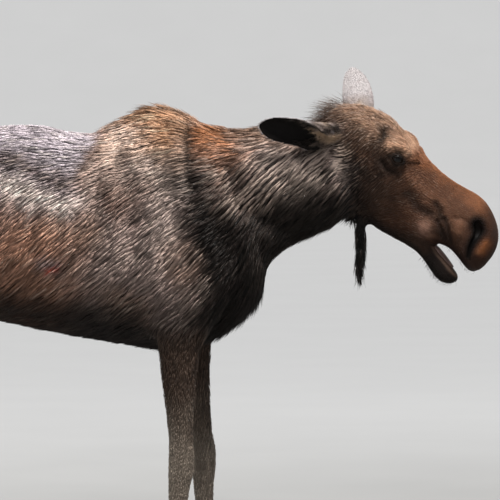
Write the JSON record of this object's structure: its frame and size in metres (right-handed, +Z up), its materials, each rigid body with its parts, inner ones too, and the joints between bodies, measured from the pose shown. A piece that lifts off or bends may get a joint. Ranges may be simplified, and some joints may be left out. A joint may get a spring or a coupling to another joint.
{
  "type": "moose",
  "caption": "Life-size still model of a cow moose standing on four feet, head lowered and mouth a little open to browse, one ear back and one raised.",
  "frame": {"origin": "on the floor under the middle of the animal's box", "axes": "+X the way the animal faces, +Y its left side, +Z up"},
  "size_m": [2.5018, 0.5476, 1.9874],
  "materials": {
    "coat": "matte hair in fine overlapping locks",
    "horn": "dull black horn",
    "eye": "wet gloss",
    "tongue": "moist, fine grained"
  },
  "bodies": {
    "root": {"trunk": "coat", "neck": "coat", "head": "coat", "lower_jaw": "coat", "tongue": "tongue", "bell": "coat", "tail": "coat", "ear_left": "coat", "ear_right": "coat", "eye_left": "eye", "eye_right": "eye", "front_leg_left": "coat", "front_leg_left_outer_hoof": "horn", "front_leg_left_inner_hoof": "horn", "front_leg_left_outer_dewclaw": "horn", "front_leg_left_inner_dewclaw": "horn", "front_leg_right": "coat", "front_leg_right_outer_hoof": "horn", "front_leg_right_inner_hoof": "horn", "front_leg_right_outer_dewclaw": "horn", "front_leg_right_inner_dewclaw": "horn", "hind_leg_left": "coat", "hind_leg_left_outer_hoof": "horn", "hind_leg_left_inner_hoof": "horn", "hind_leg_left_outer_dewclaw": "horn", "hind_leg_left_inner_dewclaw": "horn", "hind_leg_right": "coat", "hind_leg_right_outer_hoof": "horn", "hind_leg_right_inner_hoof": "horn", "hind_leg_right_outer_dewclaw": "horn", "hind_leg_right_inner_dewclaw": "horn"}
  },
  "joints": []
}
